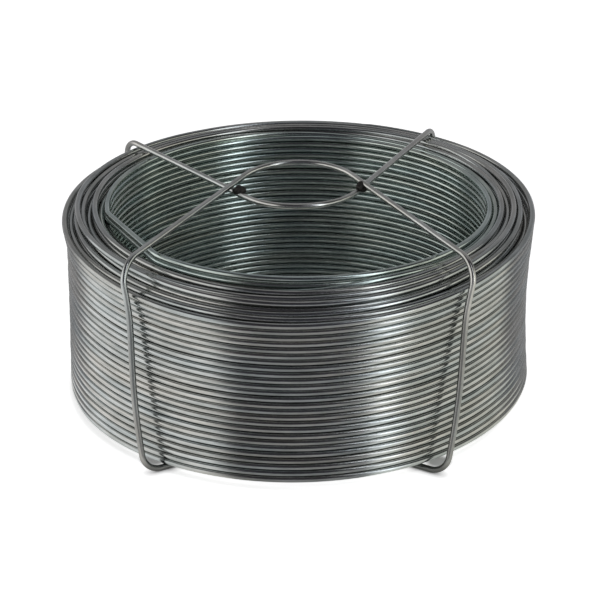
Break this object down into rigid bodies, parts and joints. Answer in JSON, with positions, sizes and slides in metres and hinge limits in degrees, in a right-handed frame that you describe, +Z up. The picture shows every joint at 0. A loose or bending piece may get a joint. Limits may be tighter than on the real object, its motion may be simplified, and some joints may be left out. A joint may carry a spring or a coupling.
{
  "type": "coil of galvanized wire",
  "caption": "Small round coil of wound galvanized steel wire, tied by a cage of bent wires that cross to a hanging eye over its open centre.",
  "frame": {"origin": "on the floor under the middle of the coil", "axes": "+Z up along the coil's axis; -Y towards the viewer of the picture, +X to that viewer's right"},
  "size_m": [0.1256, 0.1256, 0.0596],
  "materials": {
    "wound_wire": "bright galvanized, satin, grey with dark gaps between the turns",
    "cage_wire": "bright galvanized, satin, with small dark marks where the wires cross"
  },
  "bodies": {
    "root": {"wire_coil": "wound_wire", "cage_wire_front": "cage_wire", "cage_wire_back": "cage_wire"}
  },
  "joints": []
}
